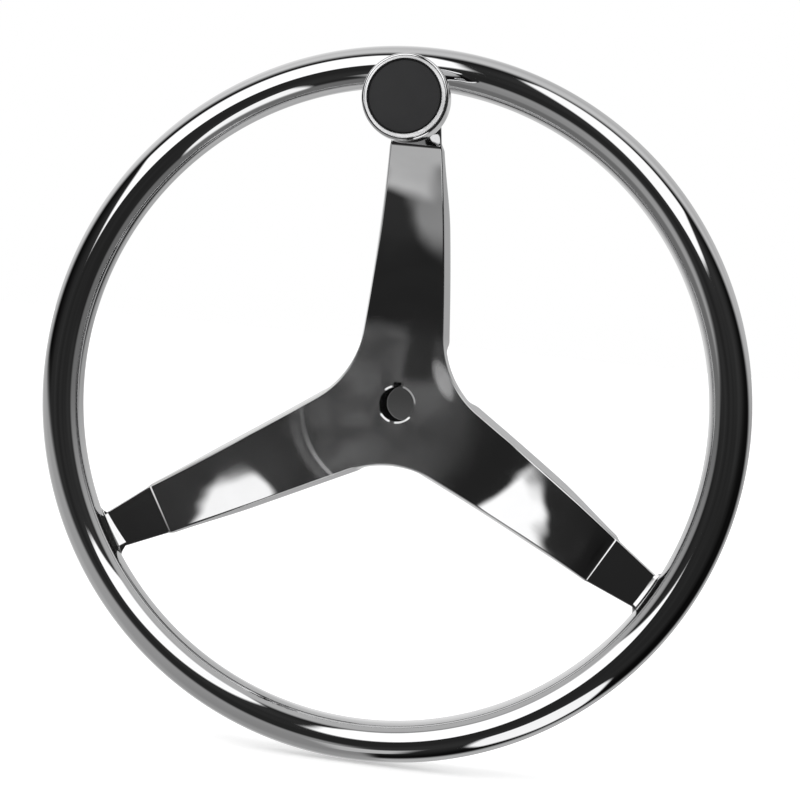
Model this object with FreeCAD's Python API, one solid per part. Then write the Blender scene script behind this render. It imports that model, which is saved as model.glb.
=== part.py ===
import FreeCAD, Part
import math
import os

# Three-spoke stainless boat steering wheel, 15 inch, with a turning knob on its top spoke.
#
# Exported frame: millimetres, +Z up, +Y away from the helmsman, the wheel turns about +Y.
# Origin: centre of the hub bore at the hub's rear face, which seats against the helm.
# Everything is drawn lying down, with the front facing +Z and the top spoke along +Y, and is
# stood up on export. Along a spoke, u is the distance from the wheel's axis and v is sideways.

V = FreeCAD.Vector
ORIGIN = V(0, 0, 0)
X_AXIS = V(1, 0, 0)
Y_AXIS = V(0, 1, 0)
Z_AXIS = V(0, 0, 1)

# ---------------------------------------------------------------- driving dimensions
RIM_OD = 381.0
TUBE_D = 22.2
TUBE_WALL = 1.5
BUTT_BEAD_W = 4.0
BUTT_BEAD_H = 0.9

HUB_LEN = 30.0            # rear face of the boss to the front face of the hub plate
DISH = 28.0               # hub plate's front face back from the rim's mid-plane
PLATE_T = 2.5             # spider sheet

BORE_D = 19.10
KEY_W = 4.80
KEY_DEPTH = 2.40          # above the bore wall
BORE_CHAMFER = 0.4
BOSS_D = 44.0
BOSS_NOSE_D = 36.0        # narrower rear end of the boss
BOSS_NOSE_L = 9.0
BOSS_NOSE_CHAMFER = 1.0
BOSS_SHOULDER_L = 4.0     # cone between the nose and the full diameter
HUB_WELD_LEG = 3.5
HUB_WELD_HOLLOW = 0.42    # mid-point of the weld's face, as a share of its leg

SPOKE_ANGLES = {"top": 90.0, "left": 210.0, "right": 330.0}
HUB_FLAT_U = 52.0         # the hub plate is flat out to here, along each spoke
BEND_R = 164.0            # long bend that sweeps the spoke forward to the rim
BEND_DEG = 30.5
CREASE_U = 138.5          # sharp bend where the spoke meets its flat tab
CREASE_R = 6.0
W_CREASE = 27.6           # spoke width at the crease
TAPER = 0.161             # extra width per mm going in towards the hub
W_TAB_END = 20.2          # tab width where it meets the rim
TAB_REACH_U = 168.3
U_TIP = 174.0             # tab drawn past the tube wall, then cut back by it
VALLEY_R = 54.0           # hollow radius between neighbouring spokes
FLARE_DEG = 12.0          # the channel's side flanges lean outwards

FLANGE_HUB = 6.0          # flange depths include the sheet
FLANGE_MID = 12.0
FLANGE_CREASE = 6.0
FLANGE_STEP_U = 30.0      # the flange deepens from here out
FLANGE_STEP_L = 7.0
FLANGE_FADE_U = 96.0      # and grows shallower again from here to the crease

END_WELD_LEG = 2.3
END_WELD_HALF = 14.0      # half length of each tab weld along the rim
MIN_WELD_VOLUME = 5.0     # smaller scraps are not part of the weld

KNOB_U = 157.5            # knob axis from the wheel's axis, on the top tab
HOLE_D = 8.4

# Tool bodies for the spider
LOFT_Z = (8.0, 66.0)
HUB_SLAB_R = 52.0
HOLLOW_DEPTH = 20.0       # below the hub plate's front face
SLAB_HALF_W = 45.0
SLAB_U_START = 28.5
SLAB_U_END = U_TIP + 2
OVERRUN = 5.0             # bore and hole tools beyond the faces they cut

# ---------------------------------------------------------------- derived
TUBE_R = TUBE_D / 2
TUBE_INNER_R = TUBE_R - TUBE_WALL
RIM_R = RIM_OD / 2 - TUBE_R
Z_HUB = HUB_LEN                      # front face of the hub plate
Z_HUB_BACK = Z_HUB - PLATE_T
Z_RIM = Z_HUB + DISH                 # rim mid-plane
FLARE = math.tan(math.radians(FLARE_DEG))
BEND = math.radians(BEND_DEG)
U_BEND_END = HUB_FLAT_U + BEND_R * math.sin(BEND)
Z_BEND_END = Z_HUB + BEND_R * (1 - math.cos(BEND))
Z_TAB = Z_BEND_END + (CREASE_U - U_BEND_END) * math.tan(BEND)   # front face of the tabs
Z_TAB_BACK = Z_TAB - PLATE_T

# Hollow between two spokes
HALF_PITCH_DEG = 180.0 / len(SPOKE_ANGLES)
HALF_PITCH = math.radians(HALF_PITCH_DEG)
EDGE_ANG = math.atan(TAPER / 2)                    # spoke side to its centreline
EDGE_DIST = (W_CREASE + TAPER * CREASE_U) / 2 * math.cos(EDGE_ANG)   # side line to the axis
HALF_TURN = math.radians(90 - HALF_PITCH_DEG) - EDGE_ANG
CORNER = EDGE_DIST / math.cos(HALF_TURN)           # side lines meet here, on the bisector
VALLEY_CENTRE = CORNER + VALLEY_R / math.cos(HALF_TURN)
U_TANGENT = (CORNER * math.cos(HALF_PITCH)
             + VALLEY_R * math.tan(HALF_TURN) * math.cos(EDGE_ANG))


# ---------------------------------------------------------------- drawing helpers
def at(radius, height):
    """Point of a section drawn in the XZ plane."""
    return V(radius, 0, height)


def line(start, end):
    return Part.LineSegment(start, end).toShape()


def arc(start, middle, end):
    return Part.Arc(start, middle, end).toShape()


def polyline(points):
    """Edges through (radius, height) points."""
    return [line(at(*a), at(*b)) for a, b in zip(points, points[1:])]


def spline(points):
    curve = Part.BSplineCurve()
    curve.interpolate(points)
    return curve.toShape()


def edge_wire(edges):
    return Part.Wire(Part.__sortEdges__(edges))


def edge_face(edges):
    return Part.Face(edge_wire(edges))


def polygon_face(points):
    """Face inside (radius, height) points."""
    return Part.Face(Part.makePolygon([at(*p) for p in points + points[:1]]))


def turned(face):
    return face.revolve(ORIGIN, Z_AXIS, 360)


def cylinder(radius, z_low, z_high, x=0.0, y=0.0):
    return Part.makeCylinder(radius, z_high - z_low, V(x, y, z_low), Z_AXIS)


def rim_torus(tube_radius):
    torus = Part.makeTorus(RIM_R, tube_radius)
    torus.translate(V(0, 0, Z_RIM))
    return torus


def bore_tool(z_low, z_high):
    """Helm shaft bore with its keyway towards the top spoke."""
    key = Part.makeBox(KEY_W, BORE_D / 2 + KEY_DEPTH, z_high - z_low, V(-KEY_W / 2, 0, z_low))
    return cylinder(BORE_D / 2, z_low, z_high).fuse(key)


def fuse_all(shapes):
    fused = shapes[0]
    for shape in shapes[1:]:
        fused = fused.fuse(shape)
    return fused


def largest_solid(shape):
    return max(shape.Solids, key=lambda solid: solid.Volume)


# ---------------------------------------------------------------- rim
def rim_tube():
    return rim_torus(TUBE_R).cut(rim_torus(TUBE_INNER_R))


def rim_butt_weld():
    """Root bead inside the tube, at the bottom of the ring."""
    left = V(-BUTT_BEAD_W / 2, TUBE_INNER_R, 0)
    right = V(BUTT_BEAD_W / 2, TUBE_INNER_R, 0)
    crown = V(0, TUBE_INNER_R - BUTT_BEAD_H, 0)
    bead = edge_face([line(left, right), arc(right, crown, left)]).revolve(ORIGIN, X_AXIS, 360)
    bead.translate(V(0, -RIM_R, Z_RIM))
    return bead.common(rim_torus(TUBE_INNER_R))


# ---------------------------------------------------------------- spider
def face_z(u):
    """Height of the spider's front face along a spoke, with a sharp crease."""
    if u <= HUB_FLAT_U:
        return Z_HUB
    if u <= U_BEND_END:
        return Z_HUB + BEND_R - math.sqrt(BEND_R ** 2 - (u - HUB_FLAT_U) ** 2)
    if u <= CREASE_U:
        return Z_BEND_END + (u - U_BEND_END) * math.tan(BEND)
    return Z_TAB


def flange_z(u):
    """Height of the flange's rear edge: shallow at the hub, deepest mid-spoke, gone on the tab."""
    if u > CREASE_U:
        return Z_TAB_BACK
    if u <= FLANGE_STEP_U:
        depth = FLANGE_HUB
    elif u <= FLANGE_STEP_U + FLANGE_STEP_L:
        depth = FLANGE_HUB + (FLANGE_MID - FLANGE_HUB) * (u - FLANGE_STEP_U) / FLANGE_STEP_L
    elif u <= FLANGE_FADE_U:
        depth = FLANGE_MID
    else:
        k = (u - FLANGE_FADE_U) / (CREASE_U - FLANGE_FADE_U)
        depth = FLANGE_MID + (FLANGE_CREASE - FLANGE_MID) * k * k * (3 - 2 * k)
    return face_z(u) - depth


def half_width(u):
    if u <= CREASE_U:
        return (W_CREASE + TAPER * (CREASE_U - u)) / 2
    tab_share = (u - CREASE_U) / (TAB_REACH_U - CREASE_U)
    return (W_CREASE + (W_TAB_END - W_CREASE) * tab_share) / 2


def spoke_point(u, v, z, deg):
    a = math.radians(deg)
    return V(u * math.cos(a) - v * math.sin(a), u * math.sin(a) + v * math.cos(a), z)


def spaced(start, end, steps):
    """Evenly spaced values from start, leaving out the end."""
    return [start + (end - start) * i / steps for i in range(steps)]


SIDE_STATIONS = (spaced(U_TANGENT, HUB_FLAT_U, 4) + spaced(HUB_FLAT_U, U_BEND_END, 8)
                 + spaced(U_BEND_END, CREASE_U, 8) + [CREASE_U])

# u of the points on the flange's rear edge, from the rim inwards
FLANGE_STATIONS = (SLAB_U_END, CREASE_U + 1.2, CREASE_U - 0.6, 131.0, 123.0, 115.0, 107.0, 99.0,
                   92.0, 85.0, 78.0, 71.0, 64.0, 57.0, HUB_FLAT_U, 37.0, 30.0, SLAB_U_START)


def outline(z, inset):
    """Closed wire of the spider's plan at height z, drawn in by inset."""
    tab_ang = math.atan((W_CREASE - W_TAB_END) / 2 / (TAB_REACH_U - CREASE_U))

    def spread(front_z):
        return (front_z - z) * FLARE - inset

    def side(u, sign, deg):
        out = spread(face_z(u))
        v = half_width(u) + math.cos(EDGE_ANG) * out
        return spoke_point(u + math.sin(EDGE_ANG) * out, sign * v, z, deg)

    def tip(sign, deg):
        v = half_width(U_TIP) + spread(Z_TAB) / math.cos(tab_ang)
        return spoke_point(U_TIP, sign * v, z, deg)

    edges = []
    angles = list(SPOKE_ANGLES.values())
    for this, following in zip(angles, angles[1:] + angles[:1]):
        valley_mid = spoke_point(VALLEY_CENTRE - (VALLEY_R - spread(Z_HUB)), 0, z,
                                 this + HALF_PITCH_DEG)
        edges += [
            line(tip(-1, this), tip(1, this)),
            line(tip(1, this), side(CREASE_U, 1, this)),
            spline([side(u, 1, this) for u in reversed(SIDE_STATIONS)]),
            arc(side(U_TANGENT, 1, this), valley_mid, side(U_TANGENT, -1, following)),
            spline([side(u, -1, following) for u in SIDE_STATIONS]),
            line(side(CREASE_U, -1, following), tip(-1, following)),
        ]
    return edge_wire(edges)


def flared_body(inset):
    return Part.makeLoft([outline(z, inset) for z in LOFT_Z], True, True)


def spoke_slab(drop, low_points, deg):
    """Slab whose top is the spoke's front face lowered by drop, down to the (u, z) low points."""
    z_hub = Z_HUB - drop
    z_tab = Z_TAB - drop
    bend_mid = at(HUB_FLAT_U + BEND_R * math.sin(BEND / 2),
                  z_hub + BEND_R * (1 - math.cos(BEND / 2)))
    bend_end = at(U_BEND_END, Z_BEND_END - drop)
    tangent = CREASE_R * math.tan(BEND / 2)
    crease_in = at(CREASE_U - tangent * math.cos(BEND), z_tab - tangent * math.sin(BEND))
    crease_mid = at(CREASE_U + tangent - CREASE_R * math.sin(BEND / 2),
                    z_tab - CREASE_R + CREASE_R * math.cos(BEND / 2))
    crease_out = at(CREASE_U + tangent, z_tab)
    top = [
        line(at(SLAB_U_START, z_hub), at(HUB_FLAT_U, z_hub)),
        arc(at(HUB_FLAT_U, z_hub), bend_mid, bend_end),
        line(bend_end, crease_in),
        arc(crease_in, crease_mid, crease_out),
        line(crease_out, at(SLAB_U_END, z_tab)),
    ]
    bottom = polyline([(SLAB_U_END, z_tab)] + low_points + [(SLAB_U_START, z_hub)])
    slab = edge_face(top + bottom).extrude(V(0, 2 * SLAB_HALF_W, 0))
    slab.translate(V(0, -SLAB_HALF_W, 0))
    slab.rotate(ORIGIN, Z_AXIS, deg)
    return slab


def spoke_spider():
    """One-piece pressed sheet: flat hub and three dished channel spokes ending in flat tabs."""
    flange_edge = [(u, flange_z(u)) for u in FLANGE_STATIONS]
    z_floor = Z_HUB - HOLLOW_DEPTH
    floor = [(SLAB_U_END, z_floor), (SLAB_U_START, z_floor)]
    angles = SPOKE_ANGLES.values()
    keep = fuse_all([cylinder(HUB_SLAB_R, Z_HUB - FLANGE_HUB, Z_HUB)]
                    + [spoke_slab(0.0, flange_edge, deg) for deg in angles])
    hollow = fuse_all([cylinder(HUB_SLAB_R, z_floor, Z_HUB_BACK)]
                      + [spoke_slab(PLATE_T, floor, deg) for deg in angles])
    skin = flared_body(0.0).common(keep)
    inner = flared_body(PLATE_T / math.cos(math.radians(FLARE_DEG))).common(hollow)
    spider = skin.cut(inner)
    spider = spider.cut(rim_torus(TUBE_R))
    spider = spider.cut(bore_tool(0, Z_HUB + OVERRUN))
    spider = spider.cut(Part.makeCone(BORE_D / 2, BORE_D / 2 + BORE_CHAMFER, BORE_CHAMFER,
                                      V(0, 0, Z_HUB - BORE_CHAMFER), Z_AXIS))
    spider = spider.cut(cylinder(HOLE_D / 2, Z_TAB - 2 * OVERRUN, Z_TAB + OVERRUN, 0, KNOB_U))
    return largest_solid(spider.removeSplitter())


# ---------------------------------------------------------------- hub boss, behind the plate
def hub_boss():
    nose_r = BOSS_NOSE_D / 2
    boss = turned(polygon_face([
        (0, 0), (nose_r - BOSS_NOSE_CHAMFER, 0), (nose_r, BOSS_NOSE_CHAMFER),
        (nose_r, BOSS_NOSE_L), (BOSS_D / 2, BOSS_NOSE_L + BOSS_SHOULDER_L),
        (BOSS_D / 2, Z_HUB_BACK), (0, Z_HUB_BACK)]))
    return boss.cut(bore_tool(-OVERRUN, Z_HUB))


def hub_weld():
    """Hollow fillet ring between the boss and the back of the plate."""
    boss_r = BOSS_D / 2
    sag = HUB_WELD_HOLLOW * HUB_WELD_LEG
    corner = at(boss_r, Z_HUB_BACK)
    on_plate = at(boss_r + HUB_WELD_LEG, Z_HUB_BACK)
    middle = at(boss_r + sag, Z_HUB_BACK - sag)
    on_boss = at(boss_r, Z_HUB_BACK - HUB_WELD_LEG)
    return turned(edge_face([line(on_boss, corner), line(corner, on_plate),
                             arc(on_plate, middle, on_boss)]))


# ---------------------------------------------------------------- tab-to-rim welds
def tube_point(deg):
    """Point on the tube's section, from outermost round towards the front."""
    a = math.radians(deg)
    return at(RIM_R + TUBE_R * math.cos(a), Z_RIM + TUBE_R * math.sin(a))


def tube_inner_u(z):
    """Where the side of the tube nearest the hub is, at height z."""
    return RIM_R - math.sqrt(TUBE_R ** 2 - (z - Z_RIM) ** 2)


def tab_weld(deg, spider):
    """Front and rear fillets at one tab, running round the tube."""
    u_back = tube_inner_u(Z_TAB_BACK)
    inner_u = min(tube_inner_u(Z_TAB), u_back) - END_WELD_LEG
    front = tube_point(180 - 4)
    rear = tube_point(180 + 47)
    section = polygon_face([
        (inner_u, Z_TAB + 0.35),
        ((inner_u + front.x) / 2 - 0.1, (Z_TAB + front.z) / 2 - 0.3),
        (front.x, front.z),
        (RIM_R - TUBE_R + 3.5, Z_RIM),
        (RIM_R - 4.5, Z_RIM - 7.0),
        (rear.x, rear.z),
        ((u_back + rear.x) / 2 - 1.6, (Z_TAB_BACK + rear.z) / 2 - 0.2),
        (inner_u, Z_TAB_BACK - 0.35)])
    sweep = math.degrees(END_WELD_HALF / (RIM_R - TUBE_R))
    section.rotate(ORIGIN, Z_AXIS, -sweep)
    body = section.revolve(ORIGIN, Z_AXIS, 2 * sweep)
    body.rotate(ORIGIN, Z_AXIS, deg)
    fillets = body.cut(rim_torus(TUBE_R)).cut(spider).Solids
    return Part.makeCompound([s for s in fillets if s.Volume > MIN_WELD_VOLUME])


# ---------------------------------------------------------------- turning knob
THREAD_R = 4.0
SHANK_R = 5.0
THREAD_L = 9.0            # thread beyond the nut's face
GROOVE_R = 4.8
GROOVE_W = 1.1
SOCKET_CORNER_R = 2.89
SOCKET_DEPTH = 3.0
COLLAR_H = 7.8
COLLAR_BORE_R = 4.15

BUSH_BORE_R = 5.05
BUSH_FLANGE_R = 9.5
BUSH_FLANGE_T = 1.5
BUSH_L = 12.0             # length inside the shell
BUSH_END_CHAMFER = 0.4
RUN_GAP = 0.1             # end clearance of the bush flanges

SHELL_BORE_R = 7.0
SHELL_BORE_L = 32.0
WELL_R = 15.0
WELL_DEPTH = 13.0
HEAD_R = 22.25
LIP_R = 21.25             # where the shell's outer curve meets the front bead
INSERT_R = 18.5
SEAT_R = INSERT_R + 0.1
SEAT_DEPTH = 4.5
SPIGOT_R = 14.9
SPIGOT_L = 4.0
SPIGOT_CHAMFER = 0.7
INSERT_EDGE = 0.7         # width and height of the insert's rounded edge

THRUST_WASHER_T = 1.0
CLIP_T = 1.0
CLIP_GAP = 0.05
CLIP_R = 7.6
CLIP_BORE_R = 4.82
CLIP_SLOT_W = 1.6
FLAT_WASHER_T = 1.6
SPRING_WASHER_T = 2.0
SPRING_GAP_W = 1.1
NUT_FLATS = 13.0
NUT_HEX_H = 6.5
NUT_H = 14.5
NUT_CHAMFER_H = 0.75
NUT_DOME_R = 6.1

# Heights of the stack, from the tab's front face forwards
Z_COLLAR_TOP = Z_TAB + COLLAR_H
Z_LOWER_BUSH = Z_COLLAR_TOP + RUN_GAP
Z_SHELL = Z_LOWER_BUSH + BUSH_FLANGE_T
Z_WELL = Z_SHELL + SHELL_BORE_L
Z_UPPER_BUSH_TOP = Z_WELL + BUSH_FLANGE_T
Z_THRUST = Z_UPPER_BUSH_TOP + RUN_GAP
Z_GROOVE = Z_THRUST + THRUST_WASHER_T
Z_CLIP = Z_GROOVE + CLIP_GAP
Z_STUD_TOP = Z_CLIP + 2.9
Z_SEAT = Z_WELL + WELL_DEPTH
Z_FRONT = Z_SEAT + SEAT_DEPTH
# and behind the tab
Z_SPRING = Z_TAB_BACK - FLAT_WASHER_T
Z_NUT = Z_SPRING - SPRING_WASHER_T
Z_THREAD_END = Z_NUT - THREAD_L

# Outside of the shell: (radius, height above the shell's rear end)
SHELL_CURVE = (
    (11.0, 0.7), (11.25, 2.2), (10.9, 5.5), (10.6, 10.0), (10.9, 14.0), (12.2, 18.0), (14.9, 22.0),
    (18.4, 25.8), (20.9, 29.4), (22.0, 33.6), (HEAD_R, 38.0), (22.15, 42.0), (21.75, 45.6))


def knob_turned(face):
    """Solid of revolution about the knob's axis."""
    solid = turned(face)
    solid.translate(V(0, KNOB_U, 0))
    return solid


def lathe(points):
    """Knob part from (radius, height) points."""
    return knob_turned(polygon_face(points))


def knob_cylinder(radius, z_low, z_high, x=0.0, y=0.0):
    return cylinder(radius, z_low, z_high, x, KNOB_U + y)


def hex_prism(corner_r, z_low, height):
    corners = [V(corner_r * math.cos(math.radians(60 * i)),
                 KNOB_U + corner_r * math.sin(math.radians(60 * i)), z_low) for i in range(7)]
    return Part.Face(Part.makePolygon(corners)).extrude(V(0, 0, height))


def knob_base_collar():
    """Waisted collar between the tab and the stud's shoulder."""
    top = Z_COLLAR_TOP
    return lathe([
        (COLLAR_BORE_R, Z_TAB), (8.3, Z_TAB), (8.5, Z_TAB + 0.3), (8.5, Z_TAB + 2.4),
        (7.4, Z_TAB + 3.4), (7.4, top - 2.0), (8.6, top - 0.6), (8.6, top - 0.2), (8.4, top),
        (COLLAR_BORE_R, top)])


def knob_stud():
    """Threaded end, plain shank with a clip groove, hex socket in the front end."""
    stud = lathe([
        (0, Z_THREAD_END), (3.3, Z_THREAD_END), (THREAD_R, Z_THREAD_END + 0.9),
        (THREAD_R, Z_COLLAR_TOP), (SHANK_R, Z_COLLAR_TOP), (SHANK_R, Z_GROOVE),
        (GROOVE_R, Z_GROOVE), (GROOVE_R, Z_GROOVE + GROOVE_W), (SHANK_R, Z_GROOVE + GROOVE_W),
        (SHANK_R, Z_STUD_TOP - 0.5), (SHANK_R - 0.5, Z_STUD_TOP), (0, Z_STUD_TOP)])
    return stud.cut(hex_prism(SOCKET_CORNER_R, Z_STUD_TOP - SOCKET_DEPTH, SOCKET_DEPTH + 2))


def flanged_bush(seat, inward, flange_edge):
    """Bush whose flange bears on the shell at seat; inward is +1 or -1 into the shell."""
    end = seat + inward * BUSH_L
    return lathe([(BUSH_BORE_R, seat - inward * BUSH_FLANGE_T)] + flange_edge + [
        (BUSH_FLANGE_R, seat), (SHELL_BORE_R, seat),
        (SHELL_BORE_R, end - inward * BUSH_END_CHAMFER),
        (SHELL_BORE_R - BUSH_END_CHAMFER, end), (BUSH_BORE_R, end)])


def knob_lower_bush():
    chamfer = 0.2
    return flanged_bush(Z_SHELL, 1, [(BUSH_FLANGE_R - chamfer, Z_LOWER_BUSH),
                                     (BUSH_FLANGE_R, Z_LOWER_BUSH + chamfer)])


def knob_upper_bush():
    return flanged_bush(Z_WELL, -1, [(BUSH_FLANGE_R, Z_UPPER_BUSH_TOP)])


def knob_shell():
    """Rounded head on a waisted neck, bored for the bushes, with a well and insert seat in front."""
    lip = at(LIP_R, Z_FRONT - 2.1)
    curve = [at(r, Z_SHELL + h) for r, h in SHELL_CURVE] + [lip]
    bead_end = (SEAT_R, Z_FRONT - 1.6)
    return knob_turned(edge_face(
        polyline([(SHELL_BORE_R, Z_SHELL), (10.3, Z_SHELL)])
        + [arc(at(10.3, Z_SHELL), at(10.8, Z_SHELL + 0.2), curve[0]),
           spline(curve),
           arc(lip, at((LIP_R + SEAT_R) / 2, Z_FRONT + 0.3), at(*bead_end))]
        + polyline([bead_end, (SEAT_R, Z_SEAT), (WELL_R, Z_SEAT), (WELL_R, Z_WELL),
                    (SHELL_BORE_R, Z_WELL), (SHELL_BORE_R, Z_SHELL)])))


def knob_insert():
    """Slightly domed cap on a spigot that plugs the well."""
    spigot_end = Z_SEAT - SPIGOT_L
    centre = (0, Z_FRONT - 0.35)
    dome_edge = at(INSERT_R - INSERT_EDGE, Z_FRONT - 1.25)
    rim = (INSERT_R, Z_FRONT - 1.25 - INSERT_EDGE)
    return knob_turned(edge_face(
        polyline([(0, spigot_end), (SPIGOT_R - SPIGOT_CHAMFER, spigot_end),
                  (SPIGOT_R, spigot_end + SPIGOT_CHAMFER), (SPIGOT_R, Z_SEAT),
                  (INSERT_R, Z_SEAT), rim])
        + [arc(at(*rim), at(INSERT_R - 0.2, Z_FRONT - 1.45), dome_edge),
           arc(at(*centre), at(INSERT_R * 0.55, Z_FRONT - 0.62), dome_edge)]
        + polyline([centre, (0, spigot_end)])))


def knob_thrust_washer():
    return lathe([(5.1, Z_THRUST), (9.0, Z_THRUST), (9.0, Z_GROOVE), (5.1, Z_GROOVE)])


def knob_circlip():
    """Split ring with a drilled lug on each side of the slot."""
    z_top = Z_CLIP + CLIP_T
    cut_low, cut_high = Z_CLIP - 1, z_top + 1
    clip = knob_cylinder(CLIP_R, Z_CLIP, z_top)
    for side in (-1, 1):
        clip = clip.fuse(knob_cylinder(1.9, Z_CLIP, z_top, side * 2.35, 7.9))
    clip = clip.cut(knob_cylinder(CLIP_BORE_R, cut_low, cut_high))
    clip = clip.cut(Part.makeBox(CLIP_SLOT_W, 12, cut_high - cut_low,
                                 V(-CLIP_SLOT_W / 2, KNOB_U, cut_low)))
    for side in (-1, 1):
        clip = clip.cut(knob_cylinder(0.8, cut_low, cut_high, side * 2.4, 8.1))
    return largest_solid(clip)


def knob_flat_washer():
    return lathe([(4.2, Z_SPRING), (7.4, Z_SPRING), (7.5, Z_SPRING + 0.1), (7.5, Z_TAB_BACK),
                  (4.2, Z_TAB_BACK)])


def knob_spring_washer():
    """Ring with a slanting split."""
    ring = lathe([(4.15, Z_NUT), (6.9, Z_NUT), (6.9, Z_SPRING), (4.15, Z_SPRING)])
    split = Part.makeBox(SPRING_GAP_W, 12, 6, V(-SPRING_GAP_W / 2, 3, -3))
    split.rotate(ORIGIN, Y_AXIS, 18)
    split.translate(V(0, KNOB_U, Z_NUT + SPRING_WASHER_T / 2))
    split.rotate(V(0, KNOB_U, 0), Z_AXIS, 140)
    return largest_solid(ring.cut(split))


def knob_cap_nut():
    """Chamfered hexagon with a domed rear end and a blind bore."""
    z_hex_end = Z_NUT - NUT_HEX_H
    nut = hex_prism(NUT_FLATS / math.cos(math.radians(30)) / 2, z_hex_end, NUT_HEX_H)
    nut = nut.common(lathe([
        (0, Z_NUT), (6.6, Z_NUT), (7.6, Z_NUT - NUT_CHAMFER_H),
        (7.6, z_hex_end + NUT_CHAMFER_H), (6.6, z_hex_end), (0, z_hex_end)]))
    z_dome = Z_NUT - (NUT_H - NUT_DOME_R)
    dome = knob_cylinder(NUT_DOME_R, z_dome, z_hex_end + 0.2).fuse(
        Part.makeSphere(NUT_DOME_R, V(0, KNOB_U, z_dome)))
    nut = nut.fuse(dome)
    nut = nut.cut(knob_cylinder(THREAD_R + 0.02, Z_THREAD_END - 0.6, Z_NUT + 1))
    return largest_solid(nut.removeSplitter())


# ---------------------------------------------------------------- export
def export(name, shape):
    """Stand the part up, front to -Y and top to +Z, and write it."""
    standing = shape.copy()
    standing.rotate(ORIGIN, X_AXIS, 90)
    standing.exportStep("parts/" + name + ".step")


os.makedirs("parts", exist_ok=True)
for build in (rim_tube, rim_butt_weld, hub_boss, hub_weld, knob_shell, knob_insert,
              knob_lower_bush, knob_upper_bush, knob_stud, knob_base_collar,
              knob_thrust_washer, knob_circlip, knob_flat_washer, knob_spring_washer,
              knob_cap_nut):
    export(build.__name__, build())

finished_spider = spoke_spider()
export("spoke_spider", finished_spider)
for place, angle in SPOKE_ANGLES.items():
    export(place + "_tab_weld", tab_weld(angle, finished_spider))
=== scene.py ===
# Boat steering wheel in polished stainless: a tube rim, a pressed three-spoke spider, a keyed
# hub boss and a turning knob on the top spoke, on a pale floor in a softbox studio.
# The wheel stands upright: its axis lies along Y and its front faces -Y, X is right, Z is up.
# Shapes are drawn in mm in a drawing frame: x right, y up, z forwards along the axis.
import math

import bmesh
import bpy
import numpy as np
from mathutils import Matrix, Vector, noise


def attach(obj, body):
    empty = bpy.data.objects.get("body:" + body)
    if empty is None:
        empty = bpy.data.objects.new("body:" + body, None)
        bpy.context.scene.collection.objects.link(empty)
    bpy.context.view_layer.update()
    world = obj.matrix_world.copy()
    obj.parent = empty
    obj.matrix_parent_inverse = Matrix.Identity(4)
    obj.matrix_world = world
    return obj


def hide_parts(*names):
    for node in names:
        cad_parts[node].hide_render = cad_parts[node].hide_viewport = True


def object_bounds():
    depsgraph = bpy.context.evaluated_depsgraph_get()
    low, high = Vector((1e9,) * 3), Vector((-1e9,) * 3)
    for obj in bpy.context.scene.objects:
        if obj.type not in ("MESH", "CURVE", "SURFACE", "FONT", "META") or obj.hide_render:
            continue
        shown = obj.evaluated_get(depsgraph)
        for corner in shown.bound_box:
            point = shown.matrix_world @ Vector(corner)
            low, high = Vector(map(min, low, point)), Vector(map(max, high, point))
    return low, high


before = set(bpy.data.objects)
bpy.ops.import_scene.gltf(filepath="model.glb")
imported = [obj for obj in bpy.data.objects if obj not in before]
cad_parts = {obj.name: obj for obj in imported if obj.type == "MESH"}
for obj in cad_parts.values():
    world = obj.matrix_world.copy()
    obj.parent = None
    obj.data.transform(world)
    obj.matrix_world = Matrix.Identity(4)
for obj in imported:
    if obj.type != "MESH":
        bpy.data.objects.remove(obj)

CAD_BOX = [list(c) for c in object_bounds()]
scene = bpy.context.scene
MM = 0.001

# ---------------------------------------------------------------- dimensions, mm
# On a spoke, u runs outwards from the wheel axis and v across it, anticlockwise from the front.
TUBE_R = 11.1                  # rim tube
RIM_R = 179.4                  # centre line of the rim tube
Z_HUB = 30.0                   # front face of the flat hub
Z_RIM = 58.0
PLATE_T = 2.5
BORE_R = 9.55
KEY_HALF = 2.4                 # half width of the keyway
KEY_DEPTH = 2.4
KEY_TOP = BORE_R + KEY_DEPTH
HUB_FLAT_U = 52.0              # the spokes start to bend forwards here
BEND_R = 164.0
BEND = math.radians(30.5)
CREASE_U = 138.5               # crease between the spoke and its flat tab
CREASE_R = 4.5
CREASE_W = 27.6                # spoke width at the crease
TAPER = 0.161                  # width lost per mm of u
TAB_END_W = 20.2
TAB_REACH_U = 168.3
VALLEY_R = 54.0                # rounded edge between two spokes
FLARE = math.radians(12.0)     # flange, off the plate's normal
FLANGE_HUB, FLANGE_MID, FLANGE_CREASE = 6.0, 12.0, 6.0    # flange depths
FLANGE_STEP_U, FLANGE_STEP_LENGTH, FLANGE_FADE_U = 30.0, 7.0, 96.0
KNOB_R = 157.5                 # from the wheel axis to the knob axis
TOP, LEFT, RIGHT = SPOKES = (90.0, 210.0, 330.0)
BOSS_R = 22.0
Z_PLATE_BACK = Z_HUB - PLATE_T

U_BEND_END = HUB_FLAT_U + BEND_R * math.sin(BEND)
Z_BEND_END = Z_HUB + BEND_R * (1 - math.cos(BEND))
Z_TAB = Z_BEND_END + (CREASE_U - U_BEND_END) * math.tan(BEND)
Z_TAB_BACK = Z_TAB - PLATE_T
CREASE_TANGENT = CREASE_R * math.tan(BEND / 2)
U_CREASE_IN = CREASE_U - CREASE_TANGENT * math.cos(BEND)
U_CREASE_OUT = CREASE_U + CREASE_TANGENT

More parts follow.
